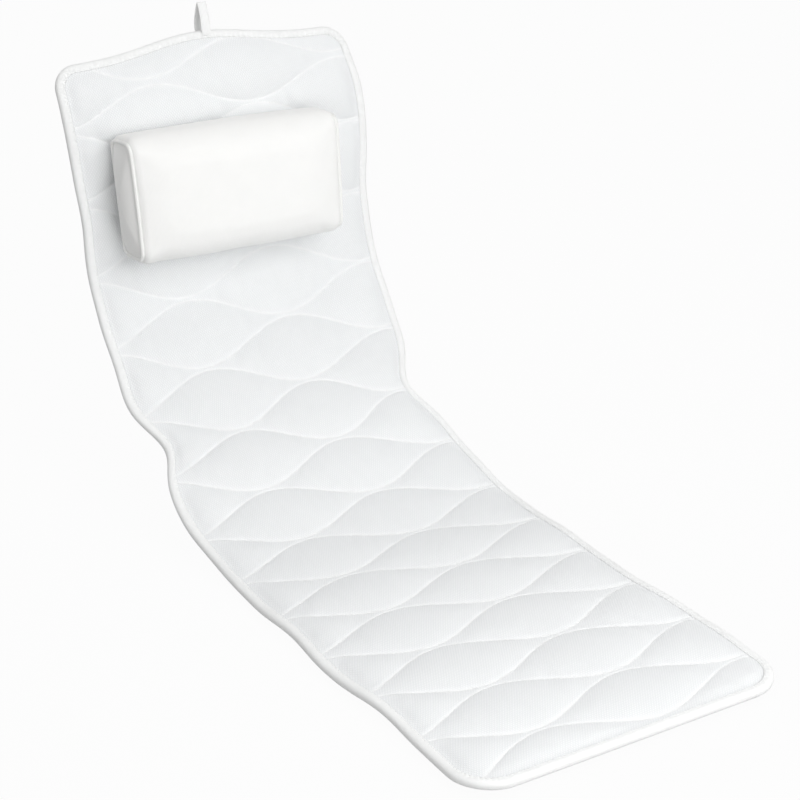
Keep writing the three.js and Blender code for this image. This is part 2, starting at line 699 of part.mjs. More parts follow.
function addPillow() {
  const end = PILLOW_LENGTH / 2 - 2 * PIPING_RADIUS - CLEAR;
  const coverAt = spread(-end, end, PILLOW_STATIONS);
  const inside = COVER_THICKNESS + CLEAR;
  const outer = coverAt.map((x) => pillowSection(x, 0));
  const inner = coverAt.map((x) => pillowSection(x, COVER_THICKNESS));
  add("pillow_cover", onPillow(walledTube(outer, inner)), pillowWhite);

  const coreEnd = end - COVER_THICKNESS - CLEAR;
  const core = spread(-coreEnd, coreEnd, PILLOW_STATIONS).map((x) => pillowSection(x, inside));
  add("pillow_foam_core", onPillow(loft(core, middleOf(-coreEnd), middleOf(coreEnd))), foamCream);

  for (const [side, way] of [["left", -1], ["right", 1]]) {
    const faces = [end - COVER_THICKNESS, end].map((x) => pillowSection(way * x, inside));
    const middles = [middleOf(way * (end - COVER_THICKNESS)), middleOf(way * (end + END_DOME))];
    const panel = way > 0 ? loft(faces, ...middles) : loft(faces.reverse(), ...middles.reverse());
    add(`pillow_end_panel_${side}`, onPillow(panel), pillowWhite);

    const cordAt = way * (end + CLEAR + PIPING_RADIUS);
    const turns = spread(0, 2 * Math.PI, PIPING_SIDES).slice(1);
    const cord = turns.map((turn) => {
      const line = pillowSection(way * end, COVER_THICKNESS / 2 - PIPING_RADIUS * Math.cos(turn));
      return line.map((point) => point.setX(cordAt + PIPING_RADIUS * Math.sin(turn)));
    });
    add(`pillow_piping_${side}`, onPillow(closedSweep(cord)), pillowWhite);
  }
}
addPillow();

// Hanging loop, upright: a tape closed to a leaf whose foot is sewn to the head edge
function leaf(x, foot, grow) {
  const middle = LOOP_HEIGHT / 2;
  return Array.from({ length: LOOP_STEPS }, (_, i) => {
    const angle = (2 * Math.PI * i) / LOOP_STEPS;
    const wide = (LOOP_SPREAD / 2 + grow) * Math.sin(angle) * (1 + LOOP_LOW_SWELL * Math.cos(angle));
    const up = middle - (middle + grow) * Math.cos(angle);
    return new THREE.Vector3(x, foot.y + wide, foot.z + up);
  });
}

function hangingLoop() {
  const edge = place(0, MAT_LENGTH + CLEAR, 0);
  const foot = new THREE.Vector3(0, edge.y, edge.z + LOOP_FOOT);
  const ends = [-LOOP_TAPE_WIDTH / 2, LOOP_TAPE_WIDTH / 2];
  const outer = ends.map((x) => leaf(x, foot, 0));
  const inner = ends.map((x) => leaf(x, foot, -LOOP_TAPE_THICKNESS));
  return walledTube(outer, inner);
}
add("hanging_loop", hangingLoop(), tapeWhite);

export default part;
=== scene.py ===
# Full-length quilted bath mat with a head pillow: the looks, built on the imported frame. +Z up.
# Sizes are in millimetres, apart from the studio's, and become metres where a piece is made.
# The mat is drawn flat, in x, s and n: s is the length from the foot edge, n the height over mid-thickness.
# place() bends that drawing along the mat's side profile, so every piece of the mat follows one curve.
import math

import bpy
import numpy as np
from mathutils import Matrix, Vector
from mathutils.bvhtree import BVHTree


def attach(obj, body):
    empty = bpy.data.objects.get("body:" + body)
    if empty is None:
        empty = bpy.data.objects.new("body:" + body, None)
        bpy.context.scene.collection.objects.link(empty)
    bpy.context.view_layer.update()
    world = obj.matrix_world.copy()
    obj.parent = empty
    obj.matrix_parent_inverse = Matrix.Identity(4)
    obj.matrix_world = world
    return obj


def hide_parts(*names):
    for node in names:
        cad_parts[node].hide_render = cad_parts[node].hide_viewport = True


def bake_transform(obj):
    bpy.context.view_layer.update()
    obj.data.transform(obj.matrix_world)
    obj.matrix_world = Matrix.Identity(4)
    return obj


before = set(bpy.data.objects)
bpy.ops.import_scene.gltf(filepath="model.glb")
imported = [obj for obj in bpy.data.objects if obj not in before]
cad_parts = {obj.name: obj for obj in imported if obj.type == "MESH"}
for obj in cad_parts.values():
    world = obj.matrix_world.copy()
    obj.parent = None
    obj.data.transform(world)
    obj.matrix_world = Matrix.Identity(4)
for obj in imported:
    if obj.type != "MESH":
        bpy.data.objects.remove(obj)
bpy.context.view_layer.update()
MM = 0.001

# Mat outline and side profile, as in the part
HALVES = ("seat", "back")  # the bodies below and above the fold
MAT_WIDTH = 400
FOOT_CORNER = 50
HEAD_CORNER = 32
HEAD_ARCH = 18.5
HEAD_ARCH_REACH = 150
HEAD_SAG = 4  # the head edge dips by this between its middle and its corners
WAIST_PINCH = 24  # the mat is drawn in by this on each side near the fold
WAIST_REACH = 47
WAIST_RAISE = 8
# Arcs of the side profile from the foot, with a length and a turn in degrees
ARCS = [(480, 0), (170, 26), (85, 3), (165, 26), (90, 31), (165, 0), (107.5, -33)]
MAT_LENGTH = sum(length for length, _ in ARCS)
FOLD_AT = sum(length for length, _ in ARCS[:3])
PILLOW_AT = sum(length for length, _ in ARCS[:5]) + ARCS[5][0] / 2
MID_HEIGHT = 11.5  # height of the seat's mid-thickness over the floor
ORIGIN_AT = 240  # length along the mat at which the frame's origin lies
SWAY_LENGTHS = (173, 97)  # the soft edge sways in a long and a short wave
SWAY_OUT = (0.7, 0.35)  # how far it wanders in and out with each of them, and up and down
SWAY_UP = (1.2, 0.48)
# How the soft mat lies at some lengths: its shift to the right, and how much wider it is on each side
LIE = [
    (0, 0.5), (150, 5.4), (290, -2), (370, 1), (560, 0.5), (680, -2.5),
    (750, 0.5), (880, 6.5), (930, 6.5), (1030, 1.5), (1110, 2), (1262, -11),
]
WIDER = [(0, -0.5), (560, -0.5), (680, -2.5), (760, 0.5), (1020, 0.5), (1140, 5.5), (1262, 1)]

# Layers of the mat, as heights over mid-thickness
UNDERSIDE = -5.5
UNDERSIDE_TOP = -2.2
FACE_BOTTOM = -1.8
FACE_SEAM = 5.5
LAYER_INSET = 8  # the layers end this far inside the edge, under the tape

# Quilting
SEAM_COUNT = 26
SEAM_PITCH = 48.2
SEAM_AMPLITUDE = 21.6
SEAM_WAVES = 1.5
SEAM_SHIFT = 0.045  # how far the waves sit to the left, as a share of the width
FIRST_SEAM = 39
SEAM_END = 9
SEAM_POINTS = 500
HEAD_SEAMS = 1090  # from here to the head edge the seams close up and wave less
HEAD_SQUEEZE = 13
HEAD_CALM = 0.22
CHANNEL_SHARES = (0, 0.03, 0.075, 0.14, 0.22, 0.31, 0.4, 0.5, 0.6, 0.69, 0.78, 0.86, 0.925, 0.97)
FACE_COLUMNS = 104
PUFF_CROWNS = [(0, 6), (480, 6), (740, 8), (1262, 8)]  # lengths and heights of the puffs there
PUFF_FULLNESS = 0.8  # under 1 the wadding fills out the low parts of a puff
PUFF_EDGE = 11  # a puff rises over this length from the binding
PILLOW_PRESS = 0.25  # share of the crown that the pillow presses down
PILLOW_PRESS_EDGE = 24
PUFF_FRAMES = 24
PUFF_PRESSURE = 30
PUFF_SLACK = 0.015  # how much larger the face is cut than the drawing
PUFF_CREEP = 2  # farthest that a point of the face may move along it
PUFF_EVENED = 3  # times that the swollen face is smoothed along its seams
UNDER_SWELL = 0.22  # how far the underside swells, as a share of the face
GROOVE_DEPTH = 0.4
GROOVE_HALF = 1.4
PRESSED_HALF = 2  # the mesh is pressed together this near to a seam

# Edge binding: its section as distance outside the edge and height, from the lip on the face to the one below
HEM = 11.3  # the layers are held down this near to the edge
TAPE_OUTSIDE = [
    (-11.2, 5.6), (-10.5, 6.1), (-9.4, 6.55), (-7.6, 6.9), (-5.2, 7), (-3.1, 6.6), (-1.5, 5.7), (-0.4, 4.3),
    (0, 2.5), (-0.1, 0.5), (-0.6, -1.1), (-1.9, -2.5), (-4, -3.9), (-6.6, -5.2), (-9, -6.1), (-11.2, -5.75),
]
TAPE_INSIDE = [(-8.6, -5.4), (-4.4, -3), (-2.2, -1), (-2, 2.4), (-4, 5.6)]
# Share of the gathers that each point of the section takes, from the lip on the face
TAPE_GATHERED = (0.3, 0.8, 1, 0.8, 0.5, 0.3, 0.2, 0.1, 0)
TAPE_STEP = 1.7
GATHER_PITCH = 6.8
GATHER_DEPTH = 0.65
GATHER_PLAIN = 0.3  # share of the gathers left on the straight sides
GATHER_HEAD = 60  # the head edge is gathered over this length
GATHER_DRIFT = 0.8  # how far the gathers drift from an even pitch, and over which length
GATHER_DRIFT_LENGTH = 31

# Stitches
STITCH = 3.4
STITCH_GAP = 0.9
THREAD_RADIUS = 0.4
THREAD_SIDES = 6
# Along a stitch: shares of its length, and its height and thickness there as shares of the thread's radius
STITCH_SHARES = (0, 0.12, 0.5, 0.88, 1)
STITCH_HEIGHTS = (-1.2, 0, 0.25, 0, -1.2)
STITCH_THICKNESS = (0.35, 0.9, 1, 0.9, 0.35)
TAPE_STITCHES = {"face": (-9, 6.65), "under": (-9, -6.1)}

# Suction cups and eyelets, as radius and height under the underside
CUP_X = 120
CUP_ROWS = {"seat": (110, 370), "back": (815, 977, 1139)}
CUP_OUTLINE = [
    (0, -2.8), (4, -2.82), (10, -3.1), (15.8, -4.15), (18.6, -5.2), (20.2, -6), (21.6, -6), (22, -5.7),
    (21.9, -5.3), (20.4, -4.6), (15.8, -2.55), (11, -1.6), (8.4, -1.3), (6.5, -1.2), (4.3, -1.2), (4.1, -1),
    (4.1, 2.3), (6.7, 2.4), (7, 2.7), (7, 3.8), (6.6, 4.2), (0, 4.2),
]
EYELET_OUTLINE = [
    (4.5, -0.9), (7.6, -0.9), (8, -0.7), (8, -0.5), (7.6, -0.3), (5.2, -0.3), (5.2, 1.6), (4.4, 1.6),
    (4.4, -0.8),
]
CUP_SIDES = 48
CUP_CALM = 20  # the underside lies flat this near to a cup

# Pillow, drawn in x along it, a up it and b out of the mat
PILLOW_END = 139.4
PILLOW_LENGTH = 279
PILLOW_HEIGHT = 161
PILLOW_DEPTH = 66
PILLOW_CROWN = 5  # how much deeper the pillow is in its middle than at its ends
PILLOW_FRONT_BULGE = 2
PILLOW_WAIST = 3  # how far it draws in at its ends, above and below
PILLOW_FRONT_RADIUS = (18, 25)  # at the ends and in the middle
PILLOW_BACK_RADIUS = (17, 28)
PILLOW_PUT_ON = (-18.7, 6, -1.5, 1.5)  # across, up, and turned and leant in degrees
PILLOW_BACK = 15.6
PILLOW_RESTING = 0.5  # what lies lower than this stays flat on the strips
PILLOW_ROUND = 128
PILLOW_STATIONS = 80
PILLOW_ARC_POINTS = 24
PILLOW_FACE_POINTS = 40
PANEL_RINGS = 12
PILLOW_FRAMES = 22
PILLOW_PRESSURE = 9
PILLOW_CAP = 6
PILLOW_EVENED = 10  # times that the swollen cover is smoothed along the pillow and round it
PILLOW_END_ROUND = 7  # the cover rounds off over this length at each end
PILLOW_CROWDED = 0.85  # how far the sections crowd towards the ends
PILLOW_SLANT = 6.5  # how much further in the left end lies at its lower edge than at its upper
PANEL_DOME = 12  # how far an end panel bulges
PIPING_RADIUS = 2.2
PIPING_SIDES = 10
PIPING_OUT = 0.35  # how far the cord stands out of the cover and past its end, as shares of its radius
PIPING_PAST = 0.6

# Hook and loop strips
STRIP_LENGTH = 220
STRIP_WIDTH = 25
STRIP_THICKNESS = 1.6
STRIP_PITCH = 70
STRIP_CELL = 1.25
STRIP_PILE = 0.35
STRIP_SEED = 4
STRIP_EDGE = 0.4  # share of the thickness left at the rim
STRIP_CLEAR = 0.2  # a loop strip lies this far over the quilting
STRIP_DROP = 40  # height over mid-thickness from which the quilting under a strip is felt
HOOK_BOTTOM = 13.7
HOOK_NAP = 0.3

# Hanging loop: the middle line of its tape, back and up from the head edge
LOOP_WIDTH = 12
LOOP_THICKNESS = 1.1
LOOP_LINE = [
    (-12.2, -2.2), (-9.2, 2.6), (-8.4, 11), (-5.2, 24), (-0.6, 35), (0.6, 36.3),
    (1.8, 35), (7, 24), (11, 11), (10.5, 1), (7, -7.4), (1.4, -12.6),
]
LOOP_STEPS = 140
CURVE_STEPS = 24  # points of the smooth line between two given ones

# Cloths: slants of their threads, sizes of their unevenness, shares that one look has in another, and relief
PORE_SLANT = 0.62
MESH_FUZZ = 0.9
MESH_FUZZ_SHARE = 0.25
MESH_BLOTCH = 60
MESH_BLOTCH_SHARE = 0.25
MESH_FLATTENED = 0.8  # share of the relief that a seam presses out
MESH_RELIEF = 0.35
TAPE_CROSS = 1.4  # pitch of the threads across a tape, in pitches of its ribs
TAPE_RIB_SHARE = 0.6
TAPE_RELIEF = 0.18
KNIT_COLUMN = 1.5
KNIT_STITCH = 1.1
KNIT_SLANT = 0.9
KNIT_STITCH_SHARE = 0.6
KNIT_BLOTCH = 25
KNIT_BLOTCH_SHARE = 0.5
KNIT_RELIEF = 0.12
PILE_RELIEF = 0.5

# Camera fitted to the photograph, and the studio, in metres
CAMERA_AT = (-1.1019, -1.6200, 1.1494)
CAMERA_FORWARD = (0.4716, 0.7858, -0.4001)
CAMERA_RIGHT = (0.8543, -0.5196, -0.0137)
CAMERA_LENS = 92.86
STUDIO_MIDDLE = (0, 0.2, 0.25)
# For each lamp the way to it from the middle, its distance, size and watts
LAMPS = {
    "front": ((-0.04, -1, 0.12), 4, 4, 76),
    "top": ((0.1, 0.35, 1), 4, 4, 15),
    "foot": ((0.1, -0.9, 0.8), 1.4, 1, 9.3),
}
SKY = 0.52
WHITE = (1, 1, 1, 1)
FLOOR_SIZE = 30
FLOOR_GREY = (0.5, 0.5, 0.5, 1)
FLOOR_WHITE = 0.96  # share of the floor that shows as plain white to the camera


def smoothstep(t):
    t = np.clip(t, 0, 1)
    return t * t * (3 - 2 * t)


def eased(s, table):
    """Values at lengths s that go smoothly from each row of a table to the next."""
    at, value = np.array(table, float).T
    i = np.clip(np.searchsorted(at, s, side="right") - 1, 0, len(at) - 2)
    return value[i] + (value[i + 1] - value[i]) * smoothstep((s - at[i]) / (at[i + 1] - at[i]))


def length_along(line):
    """The length along a line of points, from its start to each of them."""
    return np.concatenate([[0], np.cumsum(np.linalg.norm(np.diff(line, axis=0), axis=1))])


def evenly(line, count, closed=False):
    """Evenly spread points of a line and their length along it. A closed line leaves out its last point."""
    length = length_along(line)
    even = np.linspace(0, length[-1], count, endpoint=not closed)
    return np.stack([np.interp(even, length, part) for part in line.T], axis=-1), even


def unit(vectors):
    return vectors / np.linalg.norm(vectors, axis=-1, keepdims=True)


def profile(s):
    """The side profile at lengths s: y, z and slope. It runs on straight past both ends."""
    y, z, slope = (np.zeros_like(s) for _ in range(3))
    left = s
    for i, (length, turn) in enumerate(ARCS):
        step = np.minimum(left, length) if i == 0 else np.clip(left, 0, length)
        bend = math.radians(turn) * step / length
        chord = step * np.sinc(bend / (2 * math.pi))
        y = y + chord * np.cos(slope + bend / 2)
        z = z + chord * np.sin(slope + bend / 2)
        slope = slope + bend
        left = left - step
    return y + left.clip(0) * np.cos(slope), z + left.clip(0) * np.sin(slope), slope


def head_arch(across, s):
    """How far the mat drops below the middle of its head edge, at shares across it from -1 to 1."""
    drop = HEAD_ARCH * (1 - np.cos(math.pi * across)) / 2 + HEAD_SAG * np.sin(math.pi * across) ** 2
    return drop * smoothstep((s - MAT_LENGTH + HEAD_ARCH_REACH) / HEAD_ARCH_REACH)


def place(x, s, n):
    """Points of the flat drawing in the part's frame."""
    x, s, n = (np.asarray(v, float) for v in np.broadcast_arrays(x, s, n))
    across = x / (MAT_WIDTH / 2)
    waist = WAIST_PINCH * across * np.exp(-(((s - FOLD_AT - WAIST_RAISE) / WAIST_REACH) ** 2))
    slow, fast = (2 * math.pi * s / length for length in SWAY_LENGTHS)
    wander = across**3 * (SWAY_OUT[0] * np.sin(slow + 2 * across) + SWAY_OUT[1] * np.sin(fast))
    lift = across**4 * (SWAY_UP[0] * np.sin(slow - across) + SWAY_UP[1] * np.sin(fast + 1))
    side = x - waist + wander + eased(s, LIE) + across * eased(s, WIDER)
    y, z, slope = profile(s - head_arch(across, s))
    y = y - ORIGIN_AT - (n + lift) * np.sin(slope)
    z = z + MID_HEIGHT + (n + lift) * np.cos(slope)
    return np.stack([side, y, z], axis=-1)


def frame_at(x, s, n):
    """The frame at a point of the mat, in metres: X across it, Y along it and Z out of the face."""
    y, z, slope = (float(v) for v in profile(np.float64(s)))
    at = Vector((x, y - ORIGIN_AT - n * math.sin(slope), z + MID_HEIGHT + n * math.cos(slope)))
    return Matrix.Translation(at * MM) @ Matrix.Rotation(slope, 4, "X")


def corner_radius(s):
    return np.where(s > MAT_LENGTH / 2, HEAD_CORNER, FOOT_CORNER)


def half_width(s, inset):
    """Half the mat's width at lengths s, for an outline drawn in by inset."""
    radius = corner_radius(s) - inset
    to_end = np.maximum(0, np.minimum(s, MAT_LENGTH - s) - inset)
    into_corner = np.maximum(0, radius - to_end)
    return MAT_WIDTH / 2 - inset - radius + np.sqrt(np.maximum(0, radius**2 - into_corner**2))


def inside_by(x, s):
    """How far points of the flat drawing are inside the mat's outline."""
    radius = corner_radius(s)
    qx = np.abs(x) - MAT_WIDTH / 2 + radius
    qs = np.abs(s - MAT_LENGTH / 2) - MAT_LENGTH / 2 + radius
    outer = np.hypot(np.maximum(qx, 0), np.maximum(qs, 0))
    return radius - outer - np.minimum(np.maximum(qx, qs), 0)


def seam_line(k, u):
    """Quilting seam k at shares u of the mat's width."""
    side = -1 if k % 2 == 0 else 1
    middle = FIRST_SEAM + k * SEAM_PITCH
    at_head = smoothstep((middle - HEAD_SEAMS) / (MAT_LENGTH - HEAD_SEAMS))
    wave = np.cos(2 * math.pi * SEAM_WAVES * (u + SEAM_SHIFT))
    line = middle - HEAD_SQUEEZE * at_head + side * SEAM_AMPLITUDE * (1 - HEAD_CALM * at_head) * wave
    return np.clip(line + head_arch(2 * u - 1, line), SEAM_END, MAT_LENGTH - SEAM_END)


def moved(points, matrix):
    """Points in millimetres moved by a matrix in metres."""
    turn = np.array(matrix.to_3x3())
    return np.asarray(points, float) @ turn.T + np.array(matrix.translation) / MM


def grid_faces(rows, columns, wrap_rows=False, wrap_columns=False, start=0):
    """Quads of a grid of vertices stored row by row. A wrapped direction joins its last line to its first."""
    r = np.arange(rows if wrap_rows else rows - 1)[:, None]
    c = np.arange(columns if wrap_columns else columns - 1)[None, :]
    r_next, c_next = (r + 1) % rows, (c + 1) % columns
    corners = [r * columns + c, r * columns + c_next, r_next * columns + c_next, r_next * columns + c]
    return np.stack(np.broadcast_arrays(*corners), axis=-1).reshape(-1, 4) + start


def sheet_faces(rows, columns):
    """Quads of a closed sheet: a top grid, then a bottom grid with the same rows and columns, and the rim."""
    top = np.arange(rows * columns).reshape(rows, columns)
    rim = np.concatenate([top[0, :-1], top[:-1, -1], top[-1, :0:-1], top[:0:-1, 0]])
    after = np.roll(rim, -1)
    under = rows * columns
    sides = np.stack([after, rim, rim + under, after + under], axis=-1)
    return np.concatenate([grid_faces(rows, columns), grid_faces(rows, columns, start=under)[:, ::-1], sides])


def new_piece(name, points, faces, material=None):
    """A smooth mesh object from points in millimetres and faces."""
    mesh = bpy.data.meshes.new(name)
    mesh.from_pydata((np.asarray(points).reshape(-1, 3) * MM).tolist(), [], [list(face) for face in faces])
    mesh.shade_smooth()
    if material is not None:
        mesh.materials.append(material)
    piece = bpy.data.objects.new(name, mesh)
    bpy.context.scene.collection.objects.link(piece)
    return piece


def lay_flat(piece, flat, first=0, last=None):
    """Gives the faces from first up to last the flat coordinates of their vertices, in millimetres."""
    mesh = piece.data
    layer = mesh.uv_layers.get("Flat") or mesh.uv_layers.new(name="Flat")
    corners = np.empty(len(mesh.loops), np.int32)
    mesh.loops.foreach_get("vertex_index", corners)
    starts = [face.loop_start for face in mesh.polygons] + [len(corners)]
    chosen = slice(starts[first], starts[len(mesh.polygons) if last is None else last])
    laid = np.empty(len(corners) * 2, np.float32)
    layer.data.foreach_get("uv", laid)
    laid.reshape(-1, 2)[chosen] = np.asarray(flat, float).reshape(-1, 2)[corners[chosen]] * MM
    layer.data.foreach_set("uv", laid)


def flat_grid(across, along):
    """Flat coordinates of a grid of vertices, with a row for each length along the cloth."""
    return np.stack(np.broadcast_arrays(across[None, :], along[:, None]), axis=-1)


def note(piece, name, values):
    """Keeps a number for each vertex of the piece."""
    kept = piece.data.attributes.new(name, "FLOAT", "POINT")
    kept.data.foreach_set("value", np.asarray(values, np.float32).ravel())


def settled(piece, held, pressure, frames, slack):
    """The piece's points in millimetres after its cloth has swollen under pressure, with some points held."""
    group = piece.vertex_groups.new(name="held")
    group.add(np.flatnonzero(held).tolist(), 1.0, "REPLACE")
    cloth = piece.modifiers.new("Cloth", "CLOTH")
    cloth.settings.vertex_group_mass = "held"
    cloth.settings.use_pressure = True
    cloth.settings.uniform_pressure_force = pressure
    cloth.settings.shrink_min = -slack
    cloth.settings.effector_weights.gravity = 0
    cloth.point_cache.frame_end = frames
    scene = bpy.context.scene
    for number in range(1, frames + 1):
        scene.frame_set(number)
    swollen = piece.evaluated_get(bpy.context.evaluated_depsgraph_get())
    points = np.empty(len(swollen.data.vertices) * 3)
    swollen.data.vertices.foreach_get("co", points)
    piece.modifiers.remove(cloth)
    piece.vertex_groups.remove(group)
    scene.frame_set(1)
    return points.reshape(-1, 3) / MM


class Finish:
    """A procedural material: its shader, and short ways to add nodes to its tree."""

    def __init__(self, name, **constants):
        self.material = bpy.data.materials.new(name)
        self.material.use_nodes = True
        self.tree = self.material.node_tree
        self.shader = self.tree.nodes["Principled BSDF"]
        for socket, value in constants.items():
            self.shader.inputs[socket.replace("_", " ")].default_value = value

    def node(self, kind, inputs, **settings):
        made = self.tree.nodes.new("ShaderNode" + kind)
        for key, value in settings.items():
            setattr(made, key, value)
        for socket, value in inputs.items():
            if isinstance(value, bpy.types.NodeSocket):
                self.tree.links.new(value, made.inputs[socket])
            else:
                made.inputs[socket].default_value = value
        return made

    def math(self, operation, *values):
        return self.node("Math", dict(enumerate(values)), operation=operation).outputs[0]

    def flat(self):
        return self.node("UVMap", {}, uv_map="Flat").outputs[0]

    def noted(self, name):
        return self.node("Attribute", {}, attribute_name=name).outputs["Fac"]

    def wave(self, at, across, along, pitch):
        """A sine from 0 to 1 along a direction of the flat cloth, with a pitch in millimetres."""
        turns = [2 * math.pi * part / (pitch * MM) for part in (across, along, 0)]
        phase = self.node("VectorMath", {0: at, 1: turns}, operation="DOT_PRODUCT").outputs["Value"]
        return self.math("MULTIPLY_ADD", self.math("SINE", phase), 0.5, 0.5)

    def noise(self, at, size):
        """Noise from 0 to 1 with spots of about size millimetres."""
        return self.node("TexNoise", {"Vector": at, "Scale": 1 / (size * MM)}).outputs["Fac"]

    def joined(self, first, second, share):
        """Two heights in one, of which the second has a share."""
        return self.math("MULTIPLY_ADD", second, share, self.math("MULTIPLY", first, 1 - share))

    def between(self, factor, low, high):
        """A colour between two, by a factor from 0 to 1."""
        return self.node("Mix", {0: factor, 6: low, 7: high}, data_type="RGBA").outputs[2]

    def colour(self, socket):
        self.tree.links.new(socket, self.shader.inputs["Base Color"])

    def bump(self, height, depth):
        """Relief from a height of 0 to 1, with a depth in millimetres."""
        made = self.node("Bump", {"Height": height, "Distance": depth * MM})
        self.tree.links.new(made.outputs[0], self.shader.inputs["Normal"])


def air_mesh(name, pitch, pore_shade, yarn, pressed):
    """Open spacer mesh: diamond pores between yarns, with the pores painted darker as the shade in their open
    holes. Where a seam presses it together it is closed up and whiter, without that painted shade.
    """
    finish = Finish(name, Roughness=0.95, Sheen_Weight=0.15, Sheen_Roughness=0.6)
    flat = finish.flat()
    rising = finish.wave(flat, 1, PORE_SLANT, pitch)
    falling = finish.wave(flat, 1, -PORE_SLANT, pitch)
    knit = finish.math("MULTIPLY", rising, falling)
    cloth = finish.joined(knit, finish.noise(flat, MESH_FUZZ), MESH_FUZZ_SHARE)
    blotch = finish.math("MULTIPLY", finish.noise(flat, MESH_BLOTCH), MESH_BLOTCH_SHARE)
    # the pores take a darker colour than the yarns: painted shade in the open holes of the mesh
    shade = finish.between(blotch, finish.between(cloth, pore_shade, yarn), yarn)
    if pressed is not None:
        near = finish.noted("pressed")
        shade = finish.between(near, shade, pressed)
        left = finish.math("SUBTRACT", 1.0, finish.math("MULTIPLY", near, MESH_FLATTENED))
        cloth = finish.math("MULTIPLY", cloth, left)
    finish.colour(shade)
    finish.bump(cloth, MESH_RELIEF)
    return finish.material


def woven_tape(name, low, high, pitch):
    """Narrow ribbed tape."""
    finish = Finish(name, Roughness=0.85, Sheen_Weight=0.15, Sheen_Roughness=0.5)
    flat = finish.flat()
    rib = finish.wave(flat, 0, 1, pitch)
    cross = finish.wave(flat, 1, 0, pitch * TAPE_CROSS)
    weave = finish.joined(cross, rib, TAPE_RIB_SHARE)
    finish.colour(finish.between(weave, low, high))
    finish.bump(weave, TAPE_RELIEF)
    return finish.material


def fine_knit(name, low, high):
    """Smooth jersey: short slanting stitches in fine columns."""
    finish = Finish(name, Roughness=0.9, Sheen_Weight=0.2, Sheen_Roughness=0.5)
    flat = finish.flat()
    column = finish.wave(flat, 1, 0, KNIT_COLUMN)
    left = finish.wave(flat, 1, KNIT_SLANT, KNIT_STITCH)
    right = finish.wave(flat, 1, -KNIT_SLANT, KNIT_STITCH)
    stitch = finish.joined(column, finish.math("MULTIPLY", left, right), KNIT_STITCH_SHARE)
    shade = finish.joined(stitch, finish.noise(flat, KNIT_BLOTCH), KNIT_BLOTCH_SHARE)
    finish.colour(finish.between(shade, low, high))
    finish.bump(stitch, KNIT_RELIEF)
    return finish.material


def pile(name, low, high, size):
    """Napped nylon of a hook or loop strip."""
    finish = Finish(name, Roughness=0.8, Sheen_Weight=0.3)
    flat = finish.flat()
    nap = finish.noise(flat, size)
    finish.colour(finish.between(nap, low, high))
    finish.bump(nap, PILE_RELIEF)
    return finish.material


def grained(name, colour, size, relief, **constants):
    """Thread, vinyl or plastic with an uneven surface, whose bumps have a size and a relief."""
    finish = Finish(name, Base_Color=colour, **constants)
    finish.bump(finish.noise(finish.node("TexCoord", {}).outputs["Object"], size), relief)
    return finish.material


# the pore colour of each mesh is painted shade in its open holes; yarn and pressed are the cloth's own tones
FACE_MESH = air_mesh(
    "face_mesh", pitch=3.1,
    pore_shade=(0.79, 0.805, 0.815, 1), yarn=(0.94, 0.948, 0.952, 1), pressed=(0.9, 0.906, 0.91, 1))
UNDER_MESH = air_mesh(
    "under_mesh", pitch=4.2, pore_shade=(0.76, 0.775, 0.785, 1), yarn=(0.9, 0.91, 0.915, 1), pressed=None)
BINDING_TAPE = woven_tape("binding_tape", low=(0.9, 0.905, 0.9, 1), high=(0.95, 0.955, 0.95, 1), pitch=0.9)
LOOP_TAPE = woven_tape("loop_tape", low=(0.84, 0.845, 0.84, 1), high=(0.95, 0.955, 0.95, 1), pitch=1.4)
PILLOW_KNIT = fine_knit("pillow_knit", low=(0.9, 0.9, 0.885, 1), high=(0.95, 0.948, 0.935, 1))
THREAD = grained(
    "thread", (0.92, 0.925, 0.925, 1), size=0.5, relief=0.15, Roughness=0.7, Sheen_Weight=0.1)
LOOP_PILE = pile("loop_pile", low=(0.8, 0.805, 0.81, 1), high=(0.92, 0.925, 0.93, 1), size=0.8)
HOOK_PILE = pile("hook_pile", low=(0.72, 0.73, 0.74, 1), high=(0.9, 0.905, 0.91, 1), size=1.3)
CLEAR_VINYL = grained(
    "clear_vinyl", (0.9, 0.95, 0.96, 1), size=9, relief=0.05, Roughness=0.2, IOR=1.52, Transmission_Weight=0.85)
EYELET_PLASTIC = grained("eyelet_plastic", (0.82, 0.82, 0.81, 1), size=0.8, relief=0.04, Roughness=0.4)


def bend_at_fold(piece):
    """The piece keeps the shape that place() gives it along the seat and the back. This only bakes its
    transform into its mesh; the piece is not split at the fold or bent with it.
    """
    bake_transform(piece)


def both_halves(*names):
    return [f"{half}_{name}" for half in HALVES for name in names]


def quilt_grid():
    """The face as a flat grid with rows along the seams: x, s, channel width, share of it and held points."""
    u = np.linspace(0, 1, FACE_COLUMNS)
    foot = np.full_like(u, LAYER_INSET)
    head = np.full_like(u, MAT_LENGTH - LAYER_INSET)
    lines = [foot, *(seam_line(k, u) for k in range(SEAM_COUNT)), head]
    rows = [(low, high - low, share) for low, high in zip(lines, lines[1:]) for share in CHANNEL_SHARES]
    rows.append((head, np.zeros_like(u), 0))
    low, width = (np.array([row[i] for row in rows]) for i in range(2))
    share = np.array([row[2] for row in rows])[:, None]
    s = low + share * width
    x = (2 * u - 1) * half_width(s, LAYER_INSET)
    held = (share == 0) | (inside_by(x, s) < HEM)
    return x, s, width, share, held


def evened(values, times):
    """Values of a grid smoothed along its rows, with both ends of each row kept."""
    for _ in range(times):
        inner = (values[:, :-2] + 2 * values[:, 1:-1] + values[:, 2:]) / 4
        values = np.concatenate([values[:, :1], inner, values[:, -1:]], axis=1)
    return values


